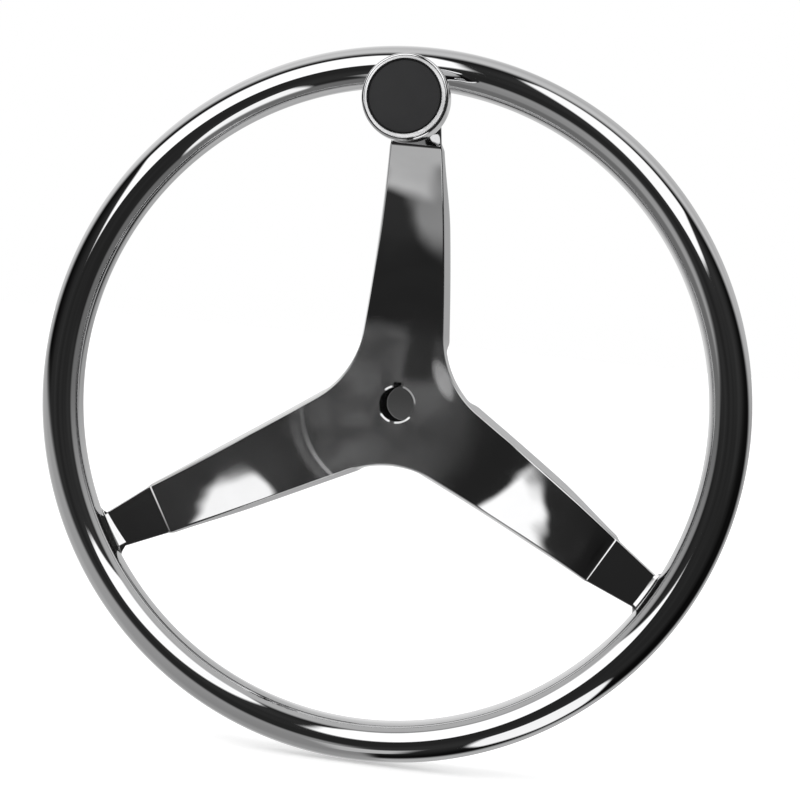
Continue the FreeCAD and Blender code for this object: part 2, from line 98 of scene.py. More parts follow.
EDGE_ANGLE = math.atan(TAPER / 2)
TAB_ANGLE = math.atan((CREASE_W - TAB_END_W) / 2 / (TAB_REACH_U - CREASE_U))
AXIS_HALF_W = (CREASE_W + TAPER * CREASE_U) / 2           # spoke half width carried in to u = 0
HALF_TURN = math.radians(30) - EDGE_ANGLE
CORNER = AXIS_HALF_W * math.cos(EDGE_ANGLE) / math.cos(HALF_TURN)   # where two edges would meet
VALLEY_CENTRE = CORNER + VALLEY_R / math.cos(HALF_TURN)
U_VALLEY = CORNER * 0.5 + VALLEY_R * math.tan(HALF_TURN) * math.cos(EDGE_ANGLE)


def place(x, y, z):
    """Drawing frame in mm to the scene in metres."""
    return (x * MM, -z * MM, y * MM)


def smoothstep(start, end, x):
    t = min(1.0, max(0.0, (x - start) / (end - start)))
    return t * t * (3 - 2 * t)


# ---------------------------------------------------------------- shader nodes
class Value:
    """An output socket; arithmetic and comparison on it add math nodes to its tree."""

    def __init__(self, net, socket):
        self.net, self.socket = net, socket

    def __add__(self, other):
        return self.net.math("ADD", self, other)

    def __radd__(self, other):
        return self.net.math("ADD", other, self)

    def __sub__(self, other):
        return self.net.math("SUBTRACT", self, other)

    def __rsub__(self, other):
        return self.net.math("SUBTRACT", other, self)

    def __mul__(self, other):
        return self.net.math("MULTIPLY", self, other)

    def __truediv__(self, other):
        return self.net.math("DIVIDE", self, other)

    def __lt__(self, other):
        return self.net.math("LESS_THAN", self, other)

    def __gt__(self, other):
        return self.net.math("GREATER_THAN", self, other)

    def __abs__(self):
        return self.net.math("ABSOLUTE", self)


class Net:
    """Short way to write a node tree."""

    def __init__(self, tree):
        self.tree = tree
        tree.nodes.clear()

    def connect(self, socket, value):
        if isinstance(value, Value):
            self.tree.links.new(value.socket, socket)
        else:
            socket.default_value = value

    def node(self, kind, inputs=None):
        node = self.tree.nodes.new(kind)
        for key, value in (inputs or {}).items():
            self.connect(node.inputs[key], value)
        return node

    def output(self, node, key=0):
        return Value(self, node.outputs[key])

    def value(self, kind, inputs=None, key=0):
        return self.output(self.node(kind, inputs), key)

    def math(self, operation, *operands):
        node = self.tree.nodes.new("ShaderNodeMath")
        node.operation = operation
        for socket, operand in zip(node.inputs, operands):
            self.connect(socket, operand)
        return self.output(node)

    def length(self, x, y):
        return self.math("SQRT", x * x + y * y)

    def split(self, vector):
        node = self.node("ShaderNodeSeparateXYZ", {0: vector})
        return [self.output(node, i) for i in range(3)]

    def colour(self, red, green, blue):
        return self.value("ShaderNodeCombineColor", {0: red, 1: green, 2: blue})

    def ramp(self, value, over, to=(0.0, 1.0)):
        """Smooth change between the two levels `to` as value goes between the ends of `over`."""
        node = self.tree.nodes.new("ShaderNodeMapRange")
        node.interpolation_type = "SMOOTHSTEP"
        node.clamp = True
        keys = ("Value", "From Min", "From Max", "To Min", "To Max")
        for key, item in zip(keys, (value, *over, *to)):
            self.connect(node.inputs[key], item)
        return self.output(node)

    def noise(self, vector, scale, detail=3.0, rough=0.5, distortion=0.0):
        return self.value("ShaderNodeTexNoise", {
            "Vector": vector, "Scale": scale, "Detail": detail, "Roughness": rough,
            "Distortion": distortion})

    def lerp(self, factor, a, b):
        return a + factor * (b - a)

    def bump(self, height, strength, distance):
        return self.value("ShaderNodeBump", {
            "Height": height, "Strength": strength, "Distance": distance})


class Surface(Net):
    """A new material whose tree holds only its output node."""

    def __init__(self, name):
        self.material = bpy.data.materials.new(name)
        self.material.use_nodes = True
        super().__init__(self.material.node_tree)
        self.end = self.node("ShaderNodeOutputMaterial")

    def finish(self, shader):
        self.connect(self.end.inputs[0], shader)

    def show_where(self, hidden, first, second):
        """Mixes from the first shader to the second by `hidden`."""
        self.finish(self.value("ShaderNodeMixShader", {0: hidden, 1: first, 2: second}))


class Principled(Surface):
    """A material with a principled shader; position is the object coordinate."""

    def __init__(self, name):
        super().__init__(name)
        self.shader = self.node("ShaderNodeBsdfPrincipled")
        self.finish(self.output(self.shader))
        self.position = self.value("ShaderNodeTexCoord", key="Object")

    def set(self, inputs):
        for key, value in inputs.items():
            self.connect(self.shader.inputs[key], value)

    def source(self, key):
        """What feeds an input of the shader at present."""
        return Value(self, self.shader.inputs[key].links[0].from_socket)


# ---------------------------------------------------------------- materials
def polished(name, tone, rough, wipe, scale):
    """Mirror polish: wipe marks in the roughness, hair-fine polishing marks in the bump."""
    net = Principled(name)
    fog = net.noise(net.position, scale=scale, detail=5.0, rough=0.6, distortion=0.4)
    fine = net.noise(net.position, scale=900.0, detail=2.0, rough=0.7)
    roughness = rough + net.ramp(fog, over=(0.45, 0.75)) * wipe
    roughness = roughness + fine * 0.008
    level = net.ramp(fog, over=(0.3, 0.7), to=(tone - 0.02, tone + 0.015))
    net.set({"Base Color": net.colour(level, level, level * 1.006), "Metallic": 1.0,
             "Roughness": roughness, "Normal": net.bump(fine, strength=0.02, distance=0.00002)})
    return net


def turned(name, tone, rough, axis, pitch):
    """Turned stainless: concentric tool marks about a line along Y through axis (x, z)."""
    net = Principled(name)
    x, y, z = net.split(net.position)
    radius = net.length(x - axis[0], z - axis[1])
    along = net.value("ShaderNodeCombineXYZ", {0: radius, 1: y, 2: 0.0})
    marks = net.noise(along, scale=pitch, detail=3.0, rough=0.7)
    fog = net.noise(net.position, scale=60.0, detail=4.0, rough=0.6)
    level = net.ramp(fog, over=(0.3, 0.7), to=(tone - 0.04, tone + 0.03))
    net.set({"Base Color": net.colour(level, level, level * 1.01), "Metallic": 1.0,
             "Roughness": rough + marks * 0.14,
             "Normal": net.bump(marks, strength=0.25, distance=0.00004)})
    return net.material


def plastic(name, colour, rough, grain, strength, specular):
    """Moulded plastic with a fine grain."""
    net = Principled(name)
    fine = net.noise(net.position, scale=grain, detail=3.0, rough=0.6)
    fog = net.noise(net.position, scale=45.0, detail=4.0, rough=0.55)
    shade = net.ramp(fog, over=(0.3, 0.7), to=(0.94, 1.06))
    net.set({"Base Color": net.colour(*(shade * channel for channel in colour)),
             "Roughness": rough + fine * 0.12, "Specular IOR Level": specular,
             "Normal": net.bump(fine, strength=strength, distance=0.00008)})
    return net.material


def knob_mirror():
    """Mirror polish with a duller linished bevel round the insert."""
    net = polished("knob_mirror", tone=0.88, rough=0.03, wipe=0.02, scale=40.0)
    x, y, z = net.split(net.position)
    z = z - KNOB_R * MM
    radius = net.length(x, z)
    bevel = net.ramp(radius, over=(0.01916, 0.01930)) * net.ramp(radius, over=(0.02072, 0.02058))
    bevel = bevel * net.ramp(y, over=(-0.1106, -0.1108))
    bevel = bevel * net.ramp(z, over=(0.010, 0.019), to=(1.0, 0.35))
    net.set({"Metallic": 1.0 - bevel * 0.62})
    return net.material


def spider_mirror():
    """Mirror spokes, with a hazy hand-buffed satin round the hub and painted highlights on the
    hub and the left spoke.
    """
    net = polished("spider_mirror", tone=0.74, rough=0.03, wipe=0.015, scale=22.0)
    x, _, z = net.split(net.position)
    radius = net.length(x, z)
    cloud = net.noise(net.position, scale=36.0, detail=2.5, rough=0.5, distortion=0.6)
    turn = net.value("ShaderNodeMapping", {
        "Vector": net.position, "Rotation": (0.0, math.radians(28), 0.0),
        "Scale": (1.0, 1.0, 0.3)})
    streak = net.noise(turn, scale=420.0, detail=3.0, rough=0.6)

    # haze, reaching further to the left and fading up the top spoke and out along the left one
    edge = radius + x * 0.60 + (cloud - 0.5) * 0.050
    haze = net.ramp(edge, over=(0.084, 0.036))
    haze = haze * net.ramp(z + cloud * 0.016, over=(0.058, 0.044))
    haze = haze * net.ramp(x * -0.866 + z * -0.5, over=(0.066, 0.046), to=(0.25, 1.0))
    # less scuffed band running up from the bore
    band = abs(x + (cloud - 0.5) * 0.02 - 0.0125)
    band = net.ramp(band, over=(0.014, 0.004)) * net.ramp(z, over=(0.008, 0.018))
    mottle = net.ramp(cloud, over=(0.28, 0.72), to=(0.35, 1.0))
    mottle = mottle * net.ramp(streak, over=(0.3, 0.7), to=(0.95, 1.04))
    haze = haze * mottle * (1.0 - band * 0.85)
    haze_and_painted_glints = haze * 0.105

    # painted highlight: a brighter ellipse by the right-hand valley, over the low place in the
    # hub
    spot_cos, spot_sin = math.cos(math.radians(-62)), math.sin(math.radians(-62))
    spot_x, spot_z = x - 0.0243, z - 0.0158
    along = (spot_x * spot_cos + spot_z * spot_sin) / 0.0140
    across = (spot_x * -spot_sin + spot_z * spot_cos) / 0.0053
    painted_glint = along * along + across * across
    haze_and_painted_glints = haze_and_painted_glints + net.ramp(painted_glint, over=(1.0, 0.15), to=(0.0, 0.26))

    # painted reflections: bowed bright lines across the left spoke where the bend begins, a fine
    # one and a broad one
    u = x * -0.8660 + z * -0.5
    v = x * 0.5 + z * -0.8660
    bow = v * v * 11.0
    on_left = net.ramp(u, over=(0.030, 0.038))
    for at, width, level, reach, fade in (
            (0.0533, (0.0020, 0.0002), (0.0, 0.26), (-0.010, 0.014), (0.25, 1.0)),
            (0.0580, (0.0040, 0.0005), (0.0, 0.06), (-0.016, 0.0), (0.3, 1.0))):
        line = abs(u + bow - at)
        haze_and_painted_glints = haze_and_painted_glints + (on_left * net.ramp(line, over=width, to=level)
                         * net.ramp(v, over=reach, to=fade))

    # front faces only
    normal_y = net.split(net.value("ShaderNodeNewGeometry", key="Normal"))[1]
    facing = net.ramp(normal_y, over=(-0.35, -0.60))
    haze_and_painted_glints = haze_and_painted_glints * facing
    haze = haze * facing
    net.set({"Metallic": 1.0 - haze_and_painted_glints, "Roughness": net.source("Roughness") + haze * 0.035})
    return net.material


MAT_RIM = polished("rim_mirror", tone=0.80, rough=0.02, wipe=0.012, scale=18.0).material
MAT_KNOB = knob_mirror()
MAT_WELD = polished("weld_mirror", tone=0.78, rough=0.05, wipe=0.05, scale=160.0).material
MAT_BOSS = turned("boss_turned", tone=0.62, rough=0.16, axis=(0, 0), pitch=2600.0)
MAT_HARDWARE = turned("hardware_turned", tone=0.66, rough=0.14, axis=(0, KNOB_R * MM),
                      pitch=3200.0)
MAT_INSERT = plastic("insert_charcoal", (0.020, 0.020, 0.021), rough=0.46, grain=1700.0,
                     strength=0.12, specular=0.35)
MAT_BUSH = plastic("bush_acetal", (0.80, 0.79, 0.76), rough=0.34, grain=900.0,
                   strength=0.05, specular=0.5)
MAT_SPIDER = spider_mirror()


# ---------------------------------------------------------------- mesh helpers
def add_object(name, mesh, material, body, replaced, sharp=None):
    """Smooth-shaded object, with edges over `sharp` degrees kept sharp."""
    for polygon in mesh.polygons:
        polygon.use_smooth = True
    if sharp is not None:
        mesh.set_sharp_from_angle(angle=math.radians(sharp))
    mesh.materials.append(material)
    mesh.update()
    ob = bpy.data.objects.new(name, mesh)
    scene.collection.objects.link(ob)
    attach(ob, body)
    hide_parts(*replaced)


def piece(name, verts, faces, material, body, slot, replaced, sharp=None):
    mesh = bpy.data.meshes.new(name)
    mesh.from_pydata([tuple(map(float, v)) for v in verts], [], [tuple(f) for f in faces])
    mesh.validate()
    bm = bmesh.new()
    bm.from_mesh(mesh)
    bmesh.ops.remove_doubles(bm, verts=bm.verts, dist=1e-7)
    bmesh.ops.recalc_face_normals(bm, faces=bm.faces)
    bm.to_mesh(mesh)
    bm.free()
    add_object(name, mesh, material, body, replaced, sharp)


def lay_rings(rings):
    """Vertices of rings of drawing points, and each ring's indices; one point makes a pole."""
    count = max(len(ring) for ring in rings)
    verts, loops = [], []
    for ring in rings:
        start = len(verts)
        verts += [place(*point) for point in ring]
        loops.append([start] * count if len(ring) == 1 else list(range(start, start + count)))
    return verts, loops


def bridge(loops, wrap=False):
    """Faces between neighbouring closed loops, and from the last back to the first if wrapped."""
    faces = []
    count = len(loops[0])
    for a, b in zip(loops, loops[1:] + (loops[:1] if wrap else [])):
        for k in range(count):
            after = (k + 1) % count
            corners = list(dict.fromkeys((a[k], a[after], b[after], b[k])))
            if len(corners) > 2:
                faces.append(corners)
    return faces


def skin(rings, wrap=False):
    verts, loops = lay_rings(rings)
    return verts, bridge(loops, wrap)


def section(profile, angle):
    """(r, z) profile stood at an angle about the wheel axis."""
    return [(r * math.cos(angle), r * math.sin(angle), z) for r, z in profile]


def knob_circle(r, z, segments):
    """Ring about the knob axis, or a pole."""
    if r < 1e-6:
        return [(0, KNOB_R, z)]
    angles = [2 * math.pi * k / segments for k in range(segments)]
    return [(r * math.cos(a), KNOB_R + r * math.sin(a), z) for a in angles]


def lathe(profile, segments, wrap=True):
    """Revolves an (r, z) polyline about the knob axis."""
    return skin([knob_circle(r, z, segments) for r, z in profile], wrap)


def rounded(points):
    """Closed polygon of (r, z[, fillet]) to a polyline with round corners."""
    steps = 6
    count = len(points)
    out = []
    for i in range(count):
        before, here, after = (np.array(points[(i + k) % count][:2], float) for k in (-1, 0, 1))
        fillet = points[i][2] if len(points[i]) > 2 else 0.0
        a, b = before - here, after - here
        length_a, length_b = np.linalg.norm(a), np.linalg.norm(b)
        if fillet <= 0 or length_a < 1e-9 or length_b < 1e-9:
            out.append(tuple(here))
            continue
        a, b = a / length_a, b / length_b
        half = math.acos(float(np.clip(a @ b, -1, 1))) / 2
        if half > math.pi / 2 - 1e-3:
            out.append(tuple(here))
            continue
        tangent = min(fillet / math.tan(half), length_a * 0.48, length_b * 0.48)
        radius = tangent * math.tan(half)
        centre = here + (a + b) / np.linalg.norm(a + b) * (radius / math.sin(half))
        start, end = here + a * tangent - centre, here + b * tangent - centre
        sign = 1.0 if start[0] * end[1] - start[1] * end[0] > 0 else -1.0
        for k in range(steps + 1):
            angle = sign * (math.pi - 2 * half) * k / steps
            c, s = math.cos(angle), math.sin(angle)
            out.append((centre[0] + c * start[0] - s * start[1],
                        centre[1] + s * start[0] + c * start[1]))
    return out


def spline_points(points, per_span):
    """Natural cubic spline through (r, z) points."""
    p = np.array(points, float)
    chords = np.linalg.norm(np.diff(p, axis=0), axis=1)
    h = np.diff(np.concatenate([[0], np.cumsum(chords)]))
    count = len(p)
    system = np.eye(count)
    right_side = np.zeros((count, 2))
    for i in range(1, count - 1):
        system[i, i - 1:i + 2] = h[i - 1], 2 * (h[i - 1] + h[i]), h[i]
        right_side[i] = 6 * ((p[i + 1] - p[i]) / h[i] - (p[i] - p[i - 1]) / h[i - 1])
    bend = np.linalg.solve(system, right_side)      # second derivatives
    out = []
    for i in range(count - 1):
        for k in range(per_span):
            done = h[i] * k / per_span
            left = h[i] - done
            out.append(tuple(bend[i] * left ** 3 / (6 * h[i])
                             + bend[i + 1] * done ** 3 / (6 * h[i])
                             + (p[i] / h[i] - bend[i] * h[i] / 6) * left
                             + (p[i + 1] / h[i] - bend[i + 1] * h[i] / 6) * done))
    out.append(tuple(p[-1]))
    return out


def keyed_outline(radius, top, half_width, count):
    """(x, y) points round a bore with a square keyway at the top."""
    side = math.atan2(math.sqrt(radius * radius - half_width * half_width), half_width)
    points = []
    for k in range(count + 1):
        angle = math.pi - side + (math.pi + 2 * side) * k / count
        points.append((radius * math.cos(angle), radius * math.sin(angle)))
    return points + [(half_width, top), (0.0, top), (-half_width, top)]


# ---------------------------------------------------------------- rim
def build_rim():
    around, across = 640, 96
    tube = []
    for j in range(across):
        angle = 2 * math.pi * j / across
        tube.append((RIM_R + TUBE_R * math.cos(angle), Z_RIM + TUBE_R * math.sin(angle)))
    rings = [section(tube, 2 * math.pi * i / around) for i in range(around)]
    piece("rim", *skin(rings, wrap=True), MAT_RIM, "wheel", "polished_stainless",
          ("rim_tube", "rim_butt_weld"))


build_rim()

# ---------------------------------------------------------------- spider
# spoke: (noise seed, dishing across the spoke)
SPOKE_WARP = {TOP: (3.7, 0.0021), LEFT: (11.2, 0.0014), RIGHT: (23.9, 0.0008)}
VALLEY_STEPS = 44
SHEET_STEPS = 18               # across a spoke
BORE_STEPS = 120
HUB_RINGS, HUB_RING_R = 14, 31.4
# stations along a spoke edge, from inside the rim tube in to the valley
STATIONS = [*np.arange(170.0, 142.0, -2.0), *np.arange(142.0, 134.0, -0.35),
            *np.linspace(134.0, HUB_FLAT_U, 58), *np.linspace(HUB_FLAT_U, U_VALLEY, 11)[1:]]


def to_spoke(deg, x, y):
    c, s = math.cos(math.radians(deg)), math.sin(math.radians(deg))
    return x * c + y * s, -x * s + y * c


def from_spoke(deg, u, v):
    c, s = math.cos(math.radians(deg)), math.sin(math.radians(deg))
    return u * c - v * s, u * s + v * c


def face_height(u):
    """Height of the front face along a spoke."""
    if u <= HUB_FLAT_U:
        return Z_HUB
    if u <= U_BEND_END:
        return Z_HUB + BEND_R - math.sqrt(BEND_R ** 2 - (u - HUB_FLAT_U) ** 2)
    if u <= U_CREASE_IN:
        return Z_BEND_END + (u - U_BEND_END) * math.tan(BEND)
    if u < U_CREASE_OUT:
        return Z_TAB - CREASE_R + math.sqrt(CREASE_R ** 2 - (U_CREASE_OUT - u) ** 2)
    return Z_TAB


def half_width(u):
    if u <= CREASE_U:
        return (CREASE_W + TAPER * (CREASE_U - u)) / 2
    past = (u - CREASE_U) / (TAB_REACH_U - CREASE_U)
    return (CREASE_W + (TAB_END_W - CREASE_W) * past) / 2


def flange_depth(u):
    if u <= FLANGE_FADE_U:
        grown = smoothstep(FLANGE_STEP_U, FLANGE_STEP_U + FLANGE_STEP_LENGTH, u)
        return FLANGE_HUB + (FLANGE_MID - FLANGE_HUB) * grown
    return FLANGE_MID + (FLANGE_CREASE - FLANGE_MID) * smoothstep(FLANGE_FADE_U, CREASE_U, u)


def edge_profile(depth, flatness):
    """(outward, drop) pairs from the front face's edge round to the back face.

    At flatness 0 they go round the bend, down the flange, round its lip and back up inside.
    At flatness 1 they follow the plain plate edge of the tab.
    """
    outer_r, inner_r, broken = 0.9, 0.7, 0.55
    bend_n, outside_n, lip_n, inside_n, inner_bend_n = 10, 4, 10, 4, 6
    turn = math.pi / 2 - FLARE
    tangent = math.tan(turn / 2)

    def on_flange(down, inward):
        return (down * math.sin(FLARE) - inward * math.cos(FLARE),
                down * math.cos(FLARE) + inward * math.sin(FLARE))

    start = outer_r * tangent
    end = (depth - PLATE_T / 2 * (1 + math.sin(FLARE))) / math.cos(FLARE)
    corner = PLATE_T * (1 - math.sin(FLARE)) / math.cos(FLARE)
    inner_start = corner + inner_r * tangent
    flange = []
    for k in range(bend_n + 1):
        a = turn * k / bend_n
        flange.append((-start + outer_r * math.sin(a), outer_r * (1 - math.cos(a))))
    for k in range(1, outside_n + 1):
        flange.append(on_flange(start + (end - start) * k / outside_n, 0.0))
    for k in range(1, lip_n + 1):
        a = math.pi * k / lip_n
        flange.append(on_flange(end + PLATE_T / 2 * math.sin(a), PLATE_T / 2 * (1 - math.cos(a))))
    for k in range(1, inside_n + 1):
        flange.append(on_flange(end + (inner_start - end) * k / inside_n, PLATE_T))
    centre = on_flange(corner, PLATE_T)[0] - inner_r * tangent
    for k in range(1, inner_bend_n + 1):
        a = turn * (1 - k / inner_bend_n)
        flange.append((centre + inner_r * math.sin(a), PLATE_T + inner_r - inner_r * math.cos(a)))

    plain = []
    for k in range(bend_n + 1):
        a = math.pi / 2 * k / bend_n
        plain.append((-broken + broken * math.sin(a), broken * (1 - math.cos(a))))
    for k in range(1, outside_n + 1):
        plain.append((0.0, broken + (PLATE_T - 2 * broken) * k / outside_n))
    for k in range(1, lip_n + 1):
        a = math.pi / 2 * k / lip_n
        plain.append((-broken + broken * math.cos(a), PLATE_T - broken + broken * math.sin(a)))
    last = flange[-1][0]
    for k in range(1, inside_n + inner_bend_n + 1):
        plain.append((-broken + (last + broken) * k / (inside_n + inner_bend_n), PLATE_T))
    return [(a[0] * (1 - flatness) + b[0] * flatness, a[1] * (1 - flatness) + b[1] * flatness)
            for a, b in zip(flange, plain)]


def warp(deg, u, v):
    """Slight dishing and unevenness of the pressed sheet."""
    height = 0.0
    if 46.0 < u < 137.0:
        seed, dish = SPOKE_WARP[deg]
        fade = smoothstep(46.0, 84.0, u) * (1.0 - smoothstep(126.0, 137.0, u))
        lumps = noise.noise(Vector((u / 24.0, v / 15.0, seed))) * 0.10
        lumps += noise.noise(Vector((u / 9.0, v / 8.0, seed + 5))) * 0.028
        height += fade * (dish * (v * v - 110.0) + lumps)
        if deg == RIGHT:
            # shallow hollow just inside the crease
            hollow = math.exp(-((u - 129.5) / 4.4) ** 2 / 2 - ((v - 2.0) / 7.0) ** 2 / 2)
            height -= 0.40 * hollow * (1.0 - smoothstep(133.0, 137.0, u))
    # low place in the hub by the right-hand valley
    x, y = from_spoke(deg, u, v)
    along, across = to_spoke(-62, x - 24.5, y - 14.0)
    spread = (across / 3.4) ** 2 / 2 + (along / 7.5) ** 2 / 2
    if spread < 12:
        height -= 0.12 * math.exp(-spread)
    return height


def sheet_vert(bm, x, y, drop):
    """Vertex below the front face, at the height of the spoke that reaches it furthest out."""
    best = None
    for deg in SPOKES:
        u, v = to_spoke(deg, x, y)
        if best is None or u > best[0]:
            best = (u, v, deg)
    u, v, deg = best
    return bm.verts.new(place(x, y, face_height(u) - drop + warp(deg, u, v)))


def edge_station(u, side, deg):
    """Point, outward normal and edge profile on the +v (1) or -v (-1) side of a spoke."""
    tab = smoothstep(136.5, 141.0, u)
    angle = EDGE_ANGLE * (1 - tab) + TAB_ANGLE * tab
    return (from_spoke(deg, u, side * half_width(u)),
            from_spoke(deg, math.sin(angle), side * math.cos(angle)),
            edge_profile(flange_depth(u), smoothstep(137.0, 141.5, u)))


def sector_stations(deg, next_deg):
    """Stations in from one spoke's tip, round the valley and out to the next spoke's tip."""
    stations = [edge_station(u, 1, deg) for u in STATIONS]
    middle = math.radians(deg + 60)
    centre = np.array([math.cos(middle), math.sin(middle)]) * VALLEY_CENTRE
    start = np.array(edge_station(U_VALLEY, 1, deg)[0]) - centre
    end = np.array(edge_station(U_VALLEY, -1, next_deg)[0]) - centre
    start_angle = math.atan2(start[1], start[0])
    end_angle = math.atan2(end[1], end[0])
    sweep = (end_angle - start_angle + math.pi) % (2 * math.pi) - math.pi
    for k in range(1, VALLEY_STEPS):
        angle = start_angle + sweep * k / VALLEY_STEPS
        point = centre + VALLEY_R * np.array([math.cos(angle), math.sin(angle)])
        u = max(to_spoke(deg, *point)[0], to_spoke(next_deg, *point)[0])
        stations.append((point, (centre - point) / VALLEY_R, edge_profile(flange_depth(u), 0.0)))
    return stations + [edge_station(u, -1, next_deg) for u in reversed(STATIONS)]


def build_sector(bm, deg, next_deg):
    """Bent edge between two spokes, as one ring of vertices per station."""
    rings = []
    for point, normal, profile in sector_stations(deg, next_deg):
        rings.append([sheet_vert(bm, point[0] + normal[0] * out, point[1] + normal[1] * out, drop)
                      for out, drop in profile])
    for a, b in zip(rings, rings[1:]):
        for j in range(len(a) - 1):
            bm.faces.new((a[j], a[j + 1], b[j + 1], b[j]))
    return rings


def build_sheet(bm, sectors, front):
    """One face of the spokes. Returns the rows at the tips and the loop round the hub."""
    j, drop = (0, 0.0) if front else (-1, PLATE_T)
    tips, hub_loop = [], []
    for i, sector in enumerate(sectors):
        rows = []
        for k in range(len(STATIONS)):
            left, right = sectors[i - 1][-1 - k][j], sector[k][j]
            line = [left]
            for c in range(1, SHEET_STEPS):
                t = c / SHEET_STEPS
                if front:
                    t = 0.5 - 0.5 * math.cos(math.pi * c / SHEET_STEPS)
                x = (left.co.x + (right.co.x - left.co.x) * t) / MM
                y = (left.co.z + (right.co.z - left.co.z) * t) / MM
                line.append(sheet_vert(bm, x, y, drop))
            rows.append(line + [right])
        for a, b in zip(rows, rows[1:]):
            for c in range(SHEET_STEPS):
                bm.faces.new((a[c], a[c + 1], b[c + 1], b[c]))
        tips.append(rows[0])
        hub_loop += rows[-1][:-1]
        hub_loop += [ring[j] for ring in sector[len(STATIONS) - 1:len(sector) - len(STATIONS)]]
    return tips, hub_loop


def join_loops(bm, a, b):
    count = len(a)
    for k in range(count):
        after = (k + 1) % count
        bm.faces.new((a[k], a[after], b[after], b[k]))


def build_hub_face(bm, hub_loop, hole, drop):
    """Rings out from the keyed bore, then a fill out to the hub loop."""
    points = [(v.co.x / MM, v.co.z / MM) for v in hole]
    inner = hole
    for step in range(1, HUB_RINGS + 1):
        t = step / HUB_RINGS
        ring = []
        for x, y in points:
            start = math.hypot(x, y)
            radius = start + (HUB_RING_R - start) * t
            ring.append(sheet_vert(bm, x / start * radius, y / start * radius, drop))
        join_loops(bm, inner, ring)
        inner = ring
    edges = []
    for loop in (hub_loop, inner):
        for k in range(len(loop)):
            pair = (loop[k], loop[(k + 1) % len(loop)])
            edges.append(bm.edges.get(pair) or bm.edges.new(pair))
    bmesh.ops.triangle_fill(bm, edges=edges, use_beauty=True, use_dissolve=False)


def build_spider():
    bm = bmesh.new()
    sectors = [build_sector(bm, SPOKES[i], SPOKES[(i + 1) % 3]) for i in range(3)]
    front_tips, front_loop = build_sheet(bm, sectors, front=True)
    back_tips, back_loop = build_sheet(bm, sectors, front=False)

    # bore with a chamfered mouth: extra radius, extra keyway size, height
    bore = []
    for extra_r, extra_key, z in ((1.0, 0.3, Z_HUB), (0.0, 0.0, Z_HUB - 0.55),
                                  (0.0, 0.0, Z_PLATE_BACK)):
        outline = keyed_outline(BORE_R + extra_r, KEY_TOP + extra_key, KEY_HALF + extra_key,
                                BORE_STEPS)
        bore.append([bm.verts.new(place(x, y, z)) for x, y in outline])
    mouth, lip, rear = bore
    join_loops(bm, mouth, lip)
    join_loops(bm, lip, rear)
    build_hub_face(bm, front_loop, mouth, 0.0)
    build_hub_face(bm, back_loop, rear, PLATE_T)

    # tab ends, inside the tube
    for i, sector in enumerate(sectors):
        bm.faces.new(front_tips[i] + sector[0][1:] + back_tips[i][::-1][1:]
                     + sectors[i - 1][-1][::-1][1:-1])
    bmesh.ops.recalc_face_normals(bm, faces=bm.faces)
    mesh = bpy.data.meshes.new("spider")
    bm.to_mesh(mesh)
    bm.free()
    add_object("spider", mesh, MAT_SPIDER, "wheel", ("spoke_spider",),
               sharp=22)


build_spider()


# ---------------------------------------------------------------- hub boss and its ring weld
def build_boss():
    mouth_r = BORE_R + 1.0
    # (r, z, fillet); the two mouth points are drawn in to the keyed bore
    chain = rounded([(mouth_r, 0.0), (18.0, 0.0, 0.8), (18.0, 9.0, 0.6), (BOSS_R, 13.0, 0.8),
                     (BOSS_R, Z_PLATE_BACK, 0.0), (mouth_r, Z_PLATE_BACK)])
    key = keyed_outline(BORE_R, KEY_TOP, KEY_HALF, 160)
    angles = [math.atan2(y, x) for x, y in key]
    rings = [[(r * math.cos(a), r * math.sin(a), z) for a in angles] for r, z in chain]
    for i in (0, -1):
        rings[i] = [(x, y, chain[i][1]) for x, y in key]
    piece("hub_boss_turned", *skin(rings, wrap=True), MAT_BOSS, "wheel", "satin_stainless",
          ("hub_boss",), sharp=30)


def build_ring_weld():
    """Rippled fillet bead between the boss and the back of the plate."""
    around, arc_steps, root_r = 420, 12, 21.2
    rings = []
    for i in range(around):
        a = 2 * math.pi * i / around
        ripple = 0.10 * math.sin(a * 46 + 0.9 * math.sin(a * 5)) + 0.05 * math.sin(a * 17 + 1.3)
        leg = 3.2 + 0.18 * math.sin(a * 3 + 0.4) + ripple
        power = 1 / (0.72 + 0.06 * math.sin(a * 46))
        bead = []
        for j in range(arc_steps):
            t = math.pi / 2 * j / arc_steps
            bead.append((BOSS_R + leg * math.cos(t) ** power,
                         Z_PLATE_BACK - leg * math.sin(t) ** power))
        bead += [(root_r, Z_PLATE_BACK - leg), (root_r, Z_PLATE_BACK)]
        rings.append(section(bead, a))
    piece("hub_ring_weld", *skin(rings, wrap=True), MAT_WELD, "wheel", "weld_stainless",
          ("hub_weld",), sharp=60)


build_boss()
build_ring_weld()


